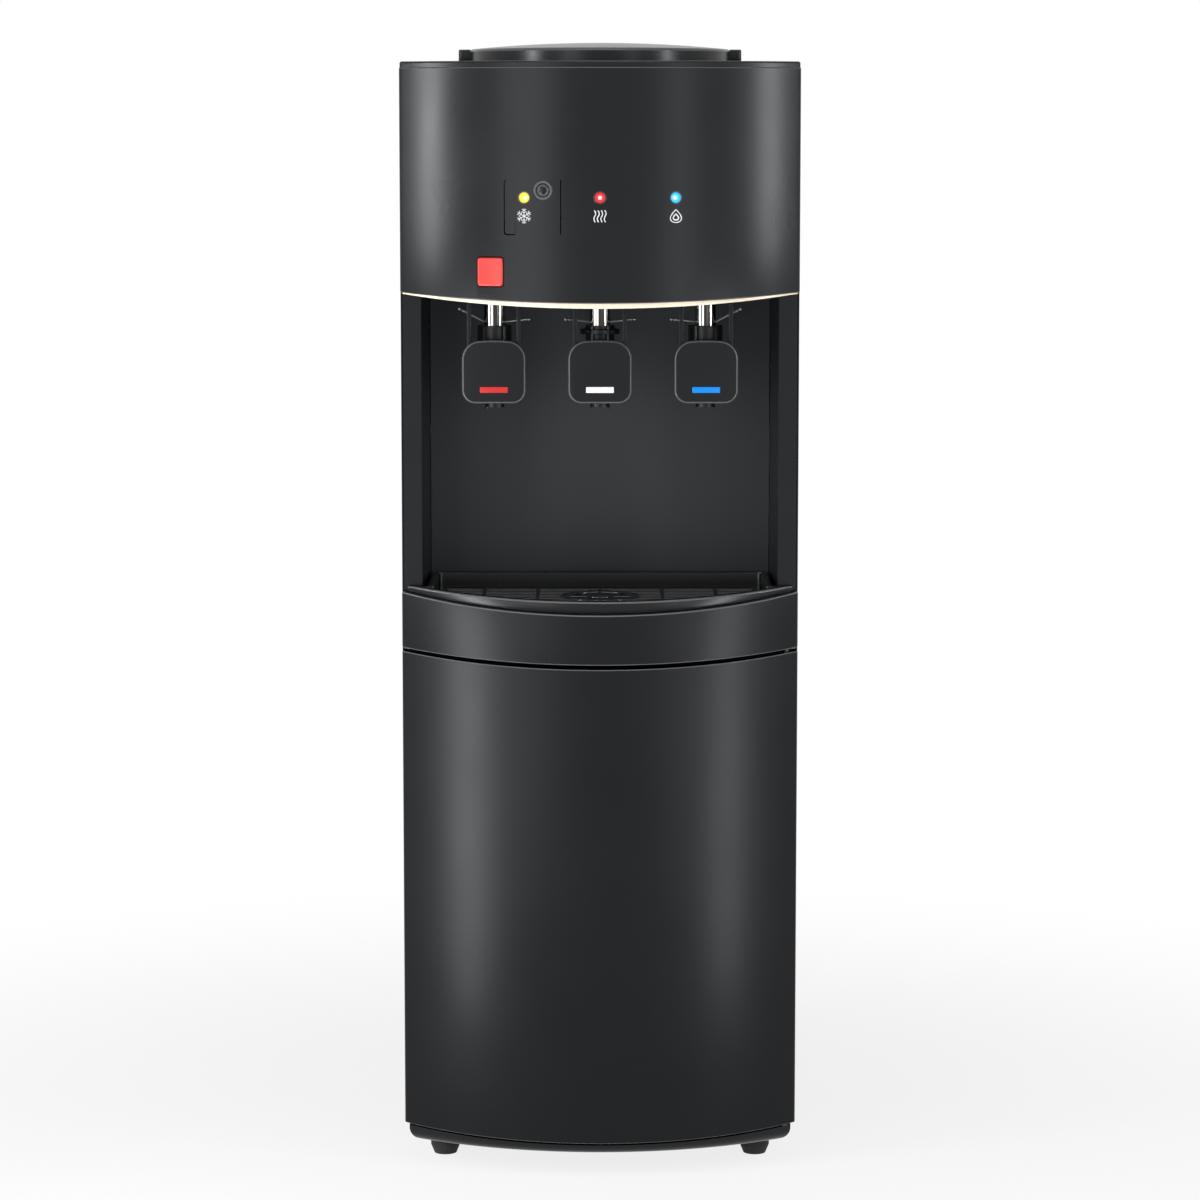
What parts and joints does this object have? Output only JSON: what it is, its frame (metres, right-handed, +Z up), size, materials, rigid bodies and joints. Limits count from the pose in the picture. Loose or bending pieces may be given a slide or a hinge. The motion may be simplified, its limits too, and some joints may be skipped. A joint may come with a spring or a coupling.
{
  "type": "bottom load water cooler",
  "caption": "Black free-standing bottom load water cooler with a bowed front, push paddles, a drip tray and a hinged bottle-bay door.",
  "frame": {"origin": "centre of the footprint at floor level", "axes": "+Z up, the front faces -Y, +X to the viewer's right"},
  "size_m": [0.364, 0.3685, 1.04],
  "materials": {
    "black_paint": "satin black paint on sheet steel",
    "black_plastic": "satin black moulded plastic",
    "bay_plastic": "satin dark grey moulded plastic",
    "grille_plastic": "gloss black moulded plastic",
    "inner_plastic": "dark grey moulded plastic",
    "clear_grey": "food-grade grey plastic",
    "black_rubber": "black rubber",
    "zinc_steel": "zinc-plated sheet steel",
    "screw_steel": "plated screw heads",
    "catch_black": "black plastic magnet case",
    "warm_strip": "warm white trim line",
    "board_green": "green circuit board",
    "red_key": "red moulded plastic",
    "blue_key": "blue moulded plastic",
    "stainless": "drawn stainless steel",
    "white_foam": "rigid insulation foam",
    "compressor_black": "black stoving paint",
    "pump_grey": "grey moulded plastic",
    "silicone": "translucent silicone",
    "chrome": "bright chrome plating",
    "bar_red": "red inlay",
    "bar_white": "white inlay",
    "bar_blue": "blue inlay",
    "lamp_yellow": "lit indicator lens",
    "lamp_red": "lit indicator lens",
    "lamp_cyan": "lit indicator lens"
  },
  "bodies": {
    "root": {"feet": "black_rubber", "base_frame": "black_plastic", "side_panel_left": "black_paint", "side_panel_right": "black_paint", "rear_panel": "zinc_steel", "rear_screws": "screw_steel", "door_frame": "black_plastic", "hinge_brackets": "zinc_steel", "catch_magnet": "catch_black", "bottle_floor": "inner_plastic", "machine_shelf": "zinc_steel", "tray_carrier": "black_plastic", "band_fascia": "black_plastic", "bay_jamb_left": "black_plastic", "bay_jamb_right": "black_plastic", "bay_back": "bay_plastic", "head_deck": "inner_plastic", "head_cover": "black_plastic", "light_strip": "warm_strip", "switch_insert": "black_plastic", "indicator_board": "board_green", "lamp_cold": "lamp_yellow", "lamp_hot": "lamp_red", "lamp_water": "lamp_cyan", "top_cover": "black_plastic", "reservoir_bowl": "clear_grey", "cold_tank": "stainless", "tank_foam": "white_foam", "hot_tank": "stainless", "compressor": "compressor_black", "compressor_mounts": "black_rubber", "pump": "pump_grey", "suction_hose": "silicone", "dip_probe": "clear_grey", "probe_holder": "inner_plastic", "condenser_tube": "compressor_black", "condenser_wires": "compressor_black", "switch_plate": "black_plastic", "power_inlet": "black_rubber", "drain_outlet": "pump_grey", "tap_stems": "chrome", "return_springs": "chrome", "tap_valve_hot": "black_plastic", "tap_valve_mid": "black_plastic", "tap_valve_cold": "black_plastic"},
    "door": {"door_outer": "black_paint", "door_inner": "inner_plastic"},
    "paddle_hot": {"paddle_hot": "black_plastic", "paddle_bar_red": "bar_red"},
    "paddle_mid": {"paddle_mid": "black_plastic", "paddle_bar_white": "bar_white"},
    "paddle_cold": {"paddle_cold": "black_plastic", "paddle_bar_blue": "bar_blue"},
    "lock_button": {"lock_button": "red_key"},
    "round_button": {"round_button": "black_plastic"},
    "drip_tray": {"drip_tray": "black_plastic"},
    "tray_grille": {"tray_grille": "grille_plastic"},
    "lid": {"lid": "black_plastic"},
    "rocker_hot": {"rocker_hot": "red_key"},
    "rocker_cold": {"rocker_cold": "blue_key"}
  },
  "joints": [
    {"name": "door_hinge", "type": "hinge", "parent": "root", "child": "door", "pos_m": [0.1716, -0.1264, 0.25], "axis": [0, 0, 1], "range_deg": [0, 110]},
    {"name": "paddle_hot_push", "type": "hinge", "parent": "root", "child": "paddle_hot", "pos_m": [-0.097, -0.116, 0.822], "axis": [1, 0, 0], "range_deg": [0, 7], "stiffness_Nm_per_rad": 0.6},
    {"name": "paddle_mid_push", "type": "hinge", "parent": "root", "child": "paddle_mid", "pos_m": [0, -0.116, 0.822], "axis": [1, 0, 0], "range_deg": [0, 7], "stiffness_Nm_per_rad": 0.6},
    {"name": "paddle_cold_push", "type": "hinge", "parent": "root", "child": "paddle_cold", "pos_m": [0.097, -0.116, 0.822], "axis": [1, 0, 0], "range_deg": [0, 7], "stiffness_Nm_per_rad": 0.6},
    {"name": "lock_press", "type": "slide", "parent": "root", "child": "lock_button", "axis": [0.3093, 0.9509, 0], "range_m": [0, 0.003], "stiffness_N_per_m": 300},
    {"name": "round_press", "type": "slide", "parent": "root", "child": "round_button", "axis": [0.1598, 0.9871, 0], "range_m": [0, 0.0015], "stiffness_N_per_m": 300},
    {"name": "tray_lift", "type": "slide", "parent": "root", "child": "drip_tray", "axis": [0, 0, 1], "range_m": [0, 0.06]},
    {"name": "grille_lift", "type": "slide", "parent": "drip_tray", "child": "tray_grille", "axis": [0, 0, 1], "range_m": [0, 0.03]},
    {"name": "lid_lift", "type": "slide", "parent": "root", "child": "lid", "axis": [0, 0, 1], "range_m": [0, 0.05]},
    {"name": "rocker_hot_tip", "type": "hinge", "parent": "root", "child": "rocker_hot", "pos_m": [0.117, 0.1652, 0.975], "axis": [1, 0, 0], "range_deg": [-8, 8]},
    {"name": "rocker_cold_tip", "type": "hinge", "parent": "root", "child": "rocker_cold", "pos_m": [0.143, 0.1652, 0.975], "axis": [1, 0, 0], "range_deg": [-8, 8]}
  ]
}
